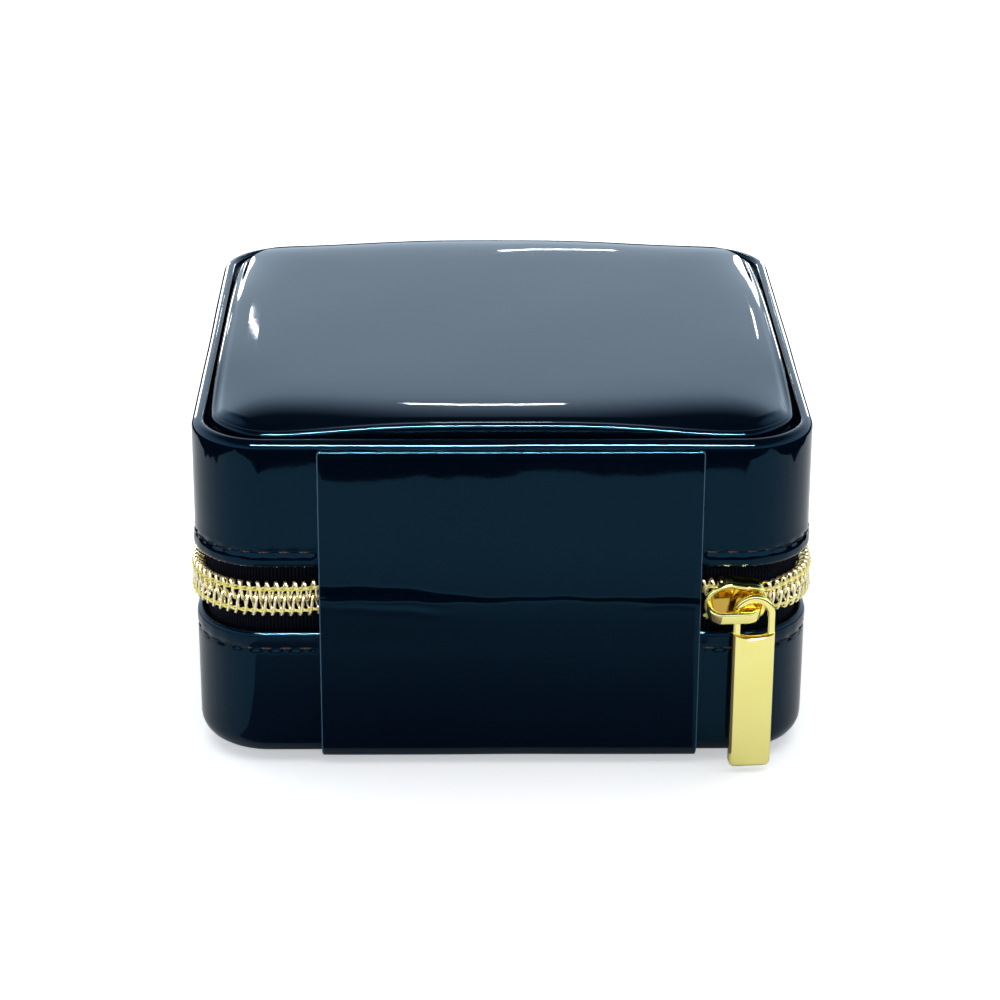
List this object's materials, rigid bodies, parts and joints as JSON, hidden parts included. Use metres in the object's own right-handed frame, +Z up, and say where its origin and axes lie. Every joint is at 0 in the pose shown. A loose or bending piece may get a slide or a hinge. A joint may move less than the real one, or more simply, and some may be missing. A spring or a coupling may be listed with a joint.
{
  "type": "travel jewellery case",
  "caption": "Square zip-round travel jewellery case in patent leather with a padded lid, an inside mirror, ring rolls, divided compartments and a gilt slider with a hanging pull.",
  "frame": {"origin": "middle of the underside of the base, on the surface the case stands on", "axes": "+Z up; -Y towards the spine with its hinge panel and the zip's closed end; +Y towards the opening side; +X to the right when facing the spine"},
  "size_m": [0.106, 0.1113, 0.063],
  "materials": {
    "patent_leather": "glossy navy patent leather",
    "lining_suede": "short navy velvet pile",
    "zip_tape": "woven black tape",
    "zip_coil": "pale gold metallised coil",
    "gilt": "polished pale gold plating",
    "board": "grey pressed board",
    "foam": "soft open foam",
    "mirror": "silvered glass",
    "thread": "waxed navy thread"
  },
  "bodies": {
    "base": {"base_bottom_panel": "patent_leather", "base_wall_cover": "patent_leather", "base_board": "board", "base_lining": "lining_suede", "base_floor_pad": "lining_suede", "divider_long": "lining_suede", "divider_cross_rear": "lining_suede", "divider_cross_front": "lining_suede", "seam_thread_base": "thread", "zip_tape_lower": "zip_tape", "zip_tape_lower_end": "zip_tape", "zip_coil_lower": "zip_coil", "zip_coil_lower_end": "zip_coil", "spine_panel_base": "patent_leather", "hinge_cloth": "lining_suede", "ring_roll_1": "lining_suede", "ring_roll_2": "lining_suede", "ring_roll_3": "lining_suede", "ring_roll_4": "lining_suede", "ring_roll_5": "lining_suede", "ring_roll_6": "lining_suede"},
    "lid": {"lid_wall_cover": "patent_leather", "lid_board": "board", "lid_lining": "lining_suede", "lid_top_cover": "patent_leather", "lid_top_foam": "foam", "lid_mirror": "mirror", "mirror_frame": "lining_suede", "seam_thread_lid": "thread", "zip_tape_upper": "zip_tape", "zip_tape_upper_end": "zip_tape", "zip_coil_upper": "zip_coil", "zip_coil_upper_end": "zip_coil", "spine_panel_lid": "patent_leather"},
    "slider": {"zip_slider": "gilt"},
    "pull": {"pull_tab": "gilt"}
  },
  "joints": [
    {"name": "lid_hinge", "type": "hinge", "parent": "base", "child": "lid", "pos_m": [0.00125, -0.05345, 0.025], "axis": [1, 0, 0], "range_deg": [0, 105], "deforming": ["hinge_cloth", "zip_tape_upper_end", "zip_coil_upper_end", "zip_tape_lower_end", "zip_coil_lower_end"]},
    {"name": "slider_run", "type": "hinge", "parent": "base", "child": "slider", "pos_m": [0.0399, -0.0399, 0.0309], "axis": [0, 0, 1], "range_deg": [0, 80], "deforming": ["zip_tape_lower_end", "zip_coil_lower_end", "zip_tape_upper_end", "zip_coil_upper_end"]},
    {"name": "pull_swing", "type": "hinge", "parent": "slider", "child": "pull", "pos_m": [0.04223, -0.05575, 0.0293], "axis": [0.0785, -0.9969, 0], "range_deg": [-30, 90]}
  ]
}
